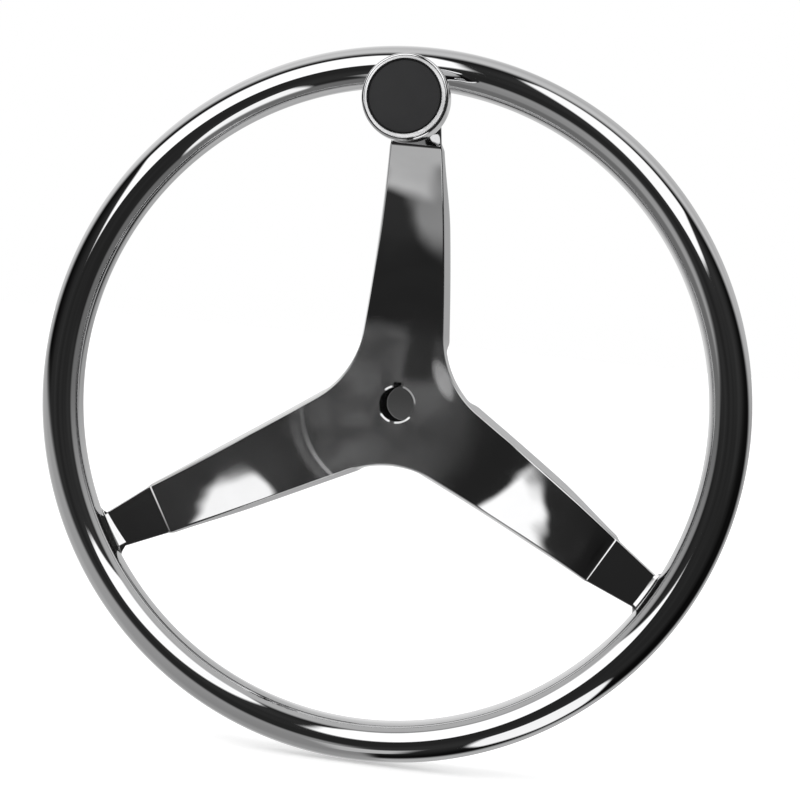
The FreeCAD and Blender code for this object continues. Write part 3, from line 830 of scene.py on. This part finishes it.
# ---------------------------------------------------------------- tab welds
def build_tab_weld(name, deg, node, front_leg, slope):
    """Polished fillets blending a tab into the tube; the front leg grows by slope per mm."""
    reach, steps = 14.0, 72
    tube_inner = RIM_R - TUBE_R
    front_base = RIM_R - math.sqrt(TUBE_R ** 2 - (Z_TAB - Z_RIM) ** 2)
    back_base = RIM_R - math.sqrt(TUBE_R ** 2 - (Z_TAB_BACK - Z_RIM) ** 2)

    def on_tube(degrees):
        a = math.radians(degrees)
        return (RIM_R + (TUBE_R + 0.02) * math.cos(a), Z_RIM + (TUBE_R + 0.02) * math.sin(a))

    def curve(p0, p1, p2):
        return [tuple((1 - t) ** 2 * x + 2 * t * (1 - t) * y + t * t * z
                      for x, y, z in zip(p0, p1, p2)) for t in (q / 8 for q in range(9))]

    rings = []
    for i in range(steps + 1):
        along = -reach + 2 * reach * i / steps
        full = 1.0 - smoothstep(TAB_END_W / 2 - 1.0, reach, abs(along))
        leg = 0.04 + (front_leg + slope * along) * full
        foot = (front_base - leg, Z_TAB + 0.02 - 0.4 * (1 - full))
        knee = (front_base - leg * 0.30,
                Z_TAB + 0.02 + leg * 0.70 * math.tan(math.radians(15)))
        corner = (knee[0] + 0.55 * leg * 0.30, knee[1] + 0.25 * leg * 0.30)
        back_leg = 0.04 + 3.4 * full
        back_foot = (back_base - back_leg, Z_TAB_BACK - 0.02)
        back_corner = (back_base - 0.12 * back_leg, Z_TAB_BACK - 0.05)

        profile = curve(on_tube(180 - 2 - 13 * full), corner, knee)
        for t in (q / 8 for q in range(1, 9)):
            profile.append((knee[0] + (foot[0] - knee[0]) * t,
                            knee[1] + (foot[1] - knee[1]) * t
                            + 0.02 * full * math.sin(math.pi * t)))
        for q in range(1, 4):
            profile.append((foot[0] + (back_foot[0] - foot[0]) * q / 4,
                            foot[1] + (back_foot[1] - foot[1]) * q / 4))
        profile += curve(back_foot, back_corner, on_tube(180 + 34 + 18 * full))
        profile += [(tube_inner + 3.0, Z_RIM - 5.0), (tube_inner + 2.2, Z_RIM)]
        rings.append(section(profile, math.radians(deg) + along / tube_inner))
    verts, loops = lay_rings(rings)
    faces = bridge(loops) + [loops[0], loops[-1][::-1]]
    piece(name, verts, faces, MAT_WELD, "wheel", "weld_stainless", (node,), sharp=50)


build_tab_weld("weld_top", TOP, "top_tab_weld", front_leg=3.4, slope=0.0)
build_tab_weld("weld_left", LEFT, "left_tab_weld", front_leg=4.0, slope=0.15)
build_tab_weld("weld_right", RIGHT, "right_tab_weld", front_leg=2.9, slope=0.0)

# ---------------------------------------------------------------- knob
Z_COLLAR_TOP = Z_TAB + 7.8
Z_KNOB = Z_COLLAR_TOP + 0.1 + 1.5      # back end of the knob
Z_BUSH_FRONT = Z_KNOB + 32.0
Z_SEAT = Z_BUSH_FRONT + 13.0           # the insert's seat
Z_FRONT = Z_SEAT + 4.5                 # front of the lip
INSERT_R = 18.5
WAIST_R, BUSH_POCKET_R, INNER_POCKET_R = 10.3, 7.0, 15.0
# outside of the knob: radius, height above its back end
KNOB_OUTLINE = [
    (11.0, 0.7), (11.25, 2.2), (10.9, 5.5), (10.6, 10.0), (10.9, 14.0), (12.2, 18.0),
    (14.9, 22.0), (18.4, 25.8), (20.9, 29.4), (22.0, 33.6), (22.25, 37.0), (22.3, 40.6),
    (22.28, 43.4)]


def build_knob_body():
    profile = [(BUSH_POCKET_R, Z_KNOB), (WAIST_R, Z_KNOB)]
    for k in range(1, 6):
        a = math.pi / 2 * k / 6
        profile.append((WAIST_R + 0.7 * math.sin(a), Z_KNOB + 0.7 * (1 - math.cos(a))))
    outline = [(r, Z_KNOB + height) for r, height in KNOB_OUTLINE]
    profile += spline_points(outline + [(22.2, Z_FRONT - 3.9)], per_span=7)
    # rounded shoulder, fine groove, then the bevel of the lip round the insert
    for k in range(1, 13):
        a = math.pi / 2 * k / 12
        profile.append((20.95 + 1.25 * math.cos(a), Z_FRONT - 3.9 + 1.25 * math.sin(a)))
    profile += [(20.90, Z_FRONT - 2.75), (20.72, Z_FRONT - 3.30), (20.50, Z_FRONT - 3.30),
                (20.48, Z_FRONT - 2.55), (20.62, Z_FRONT - 2.36)]
    for k in range(1, 17):
        t = k / 16
        profile.append((20.66 - 1.36 * t,
                        Z_FRONT - 2.26 + 2.06 * t + 0.14 * math.sin(math.pi * t)))
    for k in range(1, 9):
        a = math.pi * k / 8
        profile.append((19.16 + 0.14 * math.cos(a), Z_FRONT - 0.20 + 0.14 * math.sin(a)))
    # down inside: lip, insert recess, inner pocket
    profile += [(19.02, Z_FRONT - 2.5), (INSERT_R + 0.12, Z_FRONT - 2.6),
                (INSERT_R + 0.12, Z_SEAT), (INNER_POCKET_R, Z_SEAT),
                (INNER_POCKET_R, Z_BUSH_FRONT), (BUSH_POCKET_R, Z_BUSH_FRONT)]
    piece("knob_body", *lathe(profile, 224), MAT_KNOB, "knob", "polished_stainless",
          ("knob_shell",), sharp=40)


def build_knob_disc():
    """Slightly domed insert with a thin raised rim and a gutter inside it."""
    dome_r, rim_z, gutter_z, edge_r = 17.83, Z_FRONT - 0.74, Z_FRONT - 1.6, 18.28
    profile = [(0.0, Z_SEAT - 4.0), (14.2, Z_SEAT - 4.0), (14.9, Z_SEAT - 3.3), (14.9, Z_SEAT),
               (INSERT_R, Z_SEAT), (INSERT_R, Z_FRONT - 2.5), (18.98, Z_FRONT - 2.42),
               (18.98, Z_FRONT - 0.80), (18.92, rim_z), (18.78, rim_z),
               (18.72, Z_FRONT - 0.80), (18.70, Z_FRONT - 1.9), (18.30, Z_FRONT - 1.9),
               (edge_r, gutter_z)]
    for k in range(1, 8):
        a = math.pi / 2 * k / 8
        profile.append((edge_r - 0.45 * (1 - math.cos(a)), gutter_z + 0.45 * math.sin(a)))
    for k in range(25):
        r = dome_r * (1 - k / 24)
        profile.append((r, Z_FRONT - 0.75 - 0.40 * (r / dome_r) ** 2))
    piece("knob_disc", *lathe(profile, 192, wrap=False), MAT_INSERT, "knob", "black_insert",
          ("knob_insert",), sharp=50)


def build_collar():
    profile = rounded([
        (4.15, Z_TAB), (8.5, Z_TAB, 0.3), (8.5, Z_TAB + 2.4, 0.4), (7.4, Z_TAB + 3.4, 0.6),
        (7.4, Z_COLLAR_TOP - 2.0, 0.6), (8.6, Z_COLLAR_TOP - 0.6, 0.3),
        (8.6, Z_COLLAR_TOP, 0.25), (4.15, Z_COLLAR_TOP)])
    piece("knob_collar", *lathe(profile, 128), MAT_KNOB, "wheel", "polished_stainless",
          ("knob_base_collar",), sharp=40)


def build_washer():
    back = Z_TAB_BACK - 1.6
    profile = rounded([(4.2, back), (7.5, back, 0.3), (7.5, Z_TAB_BACK, 0.15),
                       (4.2, Z_TAB_BACK)])
    piece("tab_washer", *lathe(profile, 96), MAT_HARDWARE, "wheel", "satin_stainless",
          ("knob_flat_washer",), sharp=40)


def build_cap_nut():
    """Domed hexagon nut behind the tab, its dome to the back."""
    segments = 192
    front = Z_TAB_BACK - 3.6
    flats, hex_height, total_height = 13.0, 6.5, 14.5
    corner_r, dome_r, hole_r, hole_depth = 7.42, 6.1, 4.02, 9.6
    blend = 0.22                       # softness where the flats meet the chamfer cone
    chamfer = (0.0, 0.15, 0.35, 0.6, 0.9, 1.3)
    hex_back = front - hex_height
    # (z, distance in from the chamfered end, or None on the plain flats)
    levels = [(front - depth, depth) for depth in chamfer]
    levels += [(front - t, None) for t in np.linspace(1.8, hex_height - 1.8, 4)]
    levels += [(hex_back + depth, depth) for depth in reversed(chamfer)]

    rings = []
    for z, depth in levels:
        ring = []
        for k in range(segments):
            a = 2 * math.pi * k / segments
            r = flats / 2 / math.cos((a % (math.pi / 3)) - math.pi / 6)
            if depth is not None:
                cone_r = 6.55 + depth * 1.73
                r = -blend * math.log(math.exp(-r / blend) + math.exp(-cone_r / blend))
            r = min(r, corner_r)
            ring.append((r * math.cos(a), KNOB_R + r * math.sin(a), z))
        rings.append(ring)
    dome_z = front - (total_height - dome_r)
    dome = [(dome_r, hex_back + 0.02), (dome_r, hex_back - 0.9)]
    dome += [(dome_r * math.cos(t), dome_z - dome_r * math.sin(t))
             for t in np.linspace(0, math.pi / 2, 28)]
    hole = [(hole_r, front), (hole_r, front - hole_depth)]
    rings += [knob_circle(r, z, segments) for r, z in dome + hole]

    verts, loops = lay_rings(rings)
    *outside, mouth, bottom = loops
    faces = bridge([bottom, mouth] + outside) + [bottom]
    piece("cap_nut", verts, faces, MAT_KNOB, "wheel", "polished_stainless", ("knob_cap_nut",),
          sharp=28)


build_knob_body()
build_knob_disc()
build_collar()
build_washer()
build_cap_nut()

# CAD pieces that keep their own meshes
for node_name, material in (
        ("knob_stud", MAT_HARDWARE), ("knob_thrust_washer", MAT_HARDWARE),
        ("knob_circlip", MAT_HARDWARE), ("knob_spring_washer", MAT_HARDWARE),
        ("knob_lower_bush", MAT_BUSH), ("knob_upper_bush", MAT_BUSH)):
    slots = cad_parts[node_name].data.materials
    slots.clear()
    slots.append(material)


# ---------------------------------------------------------------- stage, metres
def stage_object(name, verts, faces, material):
    mesh = bpy.data.meshes.new(name)
    mesh.from_pydata(verts, [], faces)
    mesh.materials.append(material)
    ob = bpy.data.objects.new(name, mesh)
    scene.collection.objects.link(ob)
    return ob


def stage_plane(name, location, half, material, rotation=(0, 0, 0)):
    corners = [(-half, -half, 0), (half, -half, 0), (half, half, 0), (-half, half, 0)]
    ob = stage_object(name, corners, [(0, 1, 2, 3)], material)
    ob.location = location
    ob.rotation_euler = rotation
    return ob


def ray_start(net, position, incoming, ray_length):
    """Where the ray that reached the surface set out from."""
    return [position[i] + incoming[i] * ray_length for i in range(3)]


def floor_material():
    net = Principled("floor_pale")
    cloud = net.noise(net.position, scale=3.0, detail=3.0)
    tone = net.ramp(cloud, over=(0.3, 0.7), to=(0.865, 0.885))
    net.set({"Base Color": net.colour(tone, tone, tone), "Roughness": 0.9,
             "Specular IOR Level": 0.1, "Emission Color": (1, 1, 1, 1),
             "Emission Strength": 0.34})
    return net.material


def painted_shade_material():
    """Painted shade: a dim glow, darker towards the top, dark to the camera and to the wall of
    the bore, clear to everything else.
    """
    net = Surface("painted_bore_shade")
    geometry = net.node("ShaderNodeNewGeometry")
    path = net.node("ShaderNodeLightPath")
    from_camera = net.output(path, "Is Camera Ray")
    height = net.split(net.value("ShaderNodeTexCoord", key="Object"))[1]
    # painted shade inside the bore, darker towards the top
    tone = net.ramp(height, over=(-0.010, 0.006), to=(0.066, 0.048))
    position = net.split(net.output(geometry, "Position"))
    incoming = net.split(net.output(geometry, "Incoming"))
    x, y, z = ray_start(net, position, incoming, net.output(path, "Ray Length"))
    in_bore = (net.length(x, z) < 0.0125) * (y < -0.0006)
    seen = net.math("MAXIMUM", from_camera * (incoming[1] < -0.85), in_bore)
    hidden = 1.0 - seen * (1.0 - net.output(geometry, "Backfacing"))
    painted_glow = net.value("ShaderNodeEmission", {
        "Color": net.colour(tone, tone, tone),
        "Strength": net.ramp(from_camera, over=(0.0, 1.0), to=(0.06, 1.0))})
    net.show_where(hidden, painted_glow, net.value("ShaderNodeBsdfTransparent"))
    return net.material


def sleeve_material():
    """Painted reflection: a grey glow on the outside, seen only in first reflections off the rim.
    """
    net = Surface("sleeve_painted_reflection")
    geometry = net.node("ShaderNodeNewGeometry")
    path = net.node("ShaderNodeLightPath")
    position = net.split(net.output(geometry, "Position"))
    incoming = net.split(net.output(geometry, "Incoming"))
    outside = position[0] * incoming[0] + position[2] * incoming[2] > 0.0
    first = net.output(path, "Is Glossy Ray") * (net.output(path, "Ray Depth") < 1.5)
    x, _, z = ray_start(net, position, incoming, net.output(path, "Ray Length"))
    show = outside * first * (net.length(x, z) > 0.160)
    show = show * net.ramp(position[1], over=(-0.148, -0.112), to=(0.0, 1.0))
    painted_glow = net.value("ShaderNodeEmission", {
        "Color": (1.0, 1.0, 1.0, 1.0),
        "Strength": net.ramp(incoming[2], over=(0.15, -0.75), to=(0.17, 0.50))})
    net.show_where(show, net.value("ShaderNodeBsdfTransparent"), painted_glow)
    return net.material


floor = stage_plane("floor", (0, 0, CAD_BOX[0][2] - 0.0006), 40, floor_material())
floor.visible_glossy = False
# painted shade: small dark glowing sheet close behind the bore, standing in for the shade inside
# it
stage_plane("painted_bore_shade_sheet", (0, 0.0016, 0), 0.0125, painted_shade_material(), rotation=(math.pi / 2, 0, 0))

# ---------------------------------------------------------------- world
# Shapes in the room are drawn in degrees off the front axis, x right and y up.
# Corners run anticlockwise: (x, y, softness of the side that starts there).
GREY_WALL = [(-14, -17, 7.0), (-94, -1, 7.0), (-170, 20, 3.0), (-170, -170, 3.0),
             (-9, -170, 2.5), (-7, -60, 2.5), (-8, -32, 3.0)]
LOW_PANEL = [(-13, -38, 2.5), (-13, -62, 2.5), (-2, -60, 2.5), (-1.5, -42, 2.5)]
# (brightness, corners)
SOFTBOXES = [
    (1.35, [(-10, 5, 1.2), (-5, 20, 1.2), (-4, 45, 2.0), (-9, 57, 4.0), (-26, 54, 4.0),
            (-58, 36, 1.5), (-43, 19, 1.2), (-31, 10, 1.2), (-24, 3, 1.2)]),
    (1.25, [(4, 9, 1.2), (10, 8.3, 1.2), (27, 18, 1.2), (37, 31, 1.2), (47, 42, 3.0),
            (32, 55, 4.0), (14, 62, 2.0), (7, 52, 1.5)]),
    (1.15, [(5, -35, 1.2), (10, -60, 1.5), (17, -77, 4.0), (38, -86, 4.0), (50, -80, 3.0),
            (47, -65, 1.5), (39, -51, 1.2), (29, -42, 1.2), (16, -36, 1.2)])]


def polygon_mask(net, x, y, corners):
    mask = None
    for (x0, y0, softness), (x1, y1, _) in zip(corners, corners[1:] + corners[:1]):
        normal_x, normal_y = -(y1 - y0), x1 - x0
        length = math.hypot(normal_x, normal_y)
        normal_x, normal_y = normal_x / length, normal_y / length
        inside = x * normal_x + y * normal_y - (normal_x * x0 + normal_y * y0)
        side = net.ramp(inside, over=(-softness, softness))
        mask = side if mask is None else mask * side
    return mask


def build_world():
    """White to the camera, a softbox studio to the metal."""
    world = bpy.data.worlds.new("studio")
    scene.world = world
    world.use_nodes = True
    net = Net(world.node_tree)
    end = net.node("ShaderNodeOutputWorld")
    across, depth, up = net.split(net.value("ShaderNodeTexCoord", key="Generated"))
    off_axis = net.length(across, up)
    angle = net.math("ARCTAN2", off_axis, depth * -1.0) * (180 / math.pi)
    scale = angle / net.math("MAXIMUM", off_axis, 1e-5)
    x = scale * across
    y = scale * up
    cloud = net.noise(net.value("ShaderNodeTexCoord", key="Generated"), scale=1.6, detail=3.0,
                      rough=0.5)

    # the room at large
    room = (net.ramp(y, over=(-10.0, 60.0), to=(0.42, 0.56))
            + net.ramp(y, over=(-50.0, -100.0), to=(0.0, 0.07)))
    room = room + (net.ramp(angle, over=(114.0, 90.0), to=(0.0, 0.12))
                   * net.ramp(y, over=(10.0, 60.0)))
    room = room + net.ramp(y - x, over=(100.0, 200.0), to=(0.0, 0.28))
    room = room * net.ramp(cloud, over=(0.3, 0.7), to=(0.94, 1.04))

    # dark ellipse behind the camera
    right, down, half_wide, half_high = 9.4, 13.9, 111.2, 83.0
    tilt_cos, tilt_sin = math.cos(math.radians(-15)), math.sin(math.radians(-15))
    wide = ((x - right) * tilt_cos + (y + down) * tilt_sin) / half_wide
    high = ((x - right) * -tilt_sin + (y + down) * tilt_cos) / half_high
    dark = net.ramp(net.length(wide, high), over=(1.13, 0.90))
    dark_level = (net.ramp(cloud, over=(0.3, 0.7), to=(0.020, 0.038))
                  * net.ramp(angle, over=(38.0, 85.0), to=(1.0, 0.14)))
    room = net.lerp(dark, room, dark_level)

    # grey wall to the lower left, then a paler panel low in front
    wall = polygon_mask(net, x, y, GREY_WALL)
    wall_level = (net.ramp(angle, over=(12.0, 30.0), to=(0.24, 0.34))
                  + net.ramp(y * -1.0 - x * -0.9, over=(-20.0, 40.0), to=(0.04, -0.07)))
    wall_level = wall_level + net.ramp(angle, over=(75.0, 105.0), to=(0.0, 0.08))
    wall_level = wall_level + net.ramp(angle, over=(112.0, 145.0), to=(0.0, 0.30))
    room = net.lerp(wall, room, wall_level)
    panel = polygon_mask(net, x, y, LOW_PANEL)
    room = net.lerp(panel, room, net.ramp(cloud, over=(0.3, 0.7), to=(0.45, 0.65)))
    for brightness, corners in SOFTBOXES:
        room = net.lerp(polygon_mask(net, x, y, corners), room, brightness)

    path = net.node("ShaderNodeLightPath")
    diffuse_level, camera_level = 0.95, 1.0
    strength = net.lerp(net.output(path, "Is Diffuse Ray"), room, diffuse_level)
    strength = net.lerp(net.output(path, "Is Camera Ray"), strength, camera_level)
    background = net.value("ShaderNodeBackground", {"Color": (1, 1, 1, 1), "Strength": strength})
    net.connect(end.inputs[0], background)


def build_sleeve():
    """Open cylinder in front of the hub, about the wheel axis; its glow is a painted reflection
    in the rim.
    """
    radius, back, front, sides = 0.060, -0.068, -0.150, 64
    verts, faces = [], []
    for k in range(sides):
        angle = 2 * math.pi * k / sides
        for y in (back, front):
            verts.append((radius * math.cos(angle), y, radius * math.sin(angle)))
        a, b = 2 * k, 2 * ((k + 1) % sides)
        faces.append((a, b, b + 1, a + 1))
    sleeve = stage_object("sleeve", verts, faces, sleeve_material())
    sleeve.visible_camera = False
    sleeve.visible_diffuse = False
    sleeve.visible_shadow = False


def build_key():
    """Soft key from the upper left front, kept out of reflections."""
    light = bpy.data.lights.new("key", "AREA")
    light.shape = "RECTANGLE"
    light.size, light.size_y = 1.4, 1.0
    light.energy = 9.0
    ob = bpy.data.objects.new("key", light)
    ob.location = (-0.7, -1.1, 1.5)
    aim = Vector((0, -0.05, 0)) - Vector(ob.location)
    ob.rotation_euler = aim.to_track_quat("-Z", "Y").to_euler()
    ob.visible_glossy = False
    scene.collection.objects.link(ob)


def build_camera():
    roll = math.radians(5.8)
    azimuth, elevation = math.radians(8.449), math.radians(1.317)
    distance = 1063.7 * MM                    # from the centre of the rim
    pan_right, tilt_up = 0.00554, 0.002735    # tangents of the turns off that centre
    camera = bpy.data.cameras.new("camera")
    camera.lens = 90.0
    camera.sensor_width = 36.0
    ob = bpy.data.objects.new("camera", camera)
    scene.collection.objects.link(ob)

    right = math.sin(azimuth) * math.cos(elevation)
    above = math.sin(elevation)
    forward = math.cos(azimuth) * math.cos(elevation)
    c, s = math.cos(roll), math.sin(roll)
    back_axis = Vector((right * c - above * s, -forward, right * s + above * c))
    z_axis = back_axis.normalized()
    x_axis = Vector((-s, 0, c)).cross(z_axis).normalized()
    y_axis = z_axis.cross(x_axis)
    turn = Matrix((x_axis, y_axis, z_axis)).transposed()
    turn = turn @ Matrix.Rotation(-math.atan(pan_right), 3, "Y")
    turn = turn @ Matrix.Rotation(math.atan(tilt_up), 3, "X")
    target = Vector((0, -Z_RIM * MM, 0))
    ob.matrix_world = Matrix.Translation(target + back_axis * distance) @ turn.to_4x4()
    camera.clip_start, camera.clip_end = 0.01, 200
    scene.camera = ob


build_world()
build_sleeve()
build_key()
build_camera()

scene.view_settings.view_transform = "Standard"
scene.view_settings.look = "None"
scene.view_settings.exposure = 0.0
scene.view_settings.gamma = 1.0
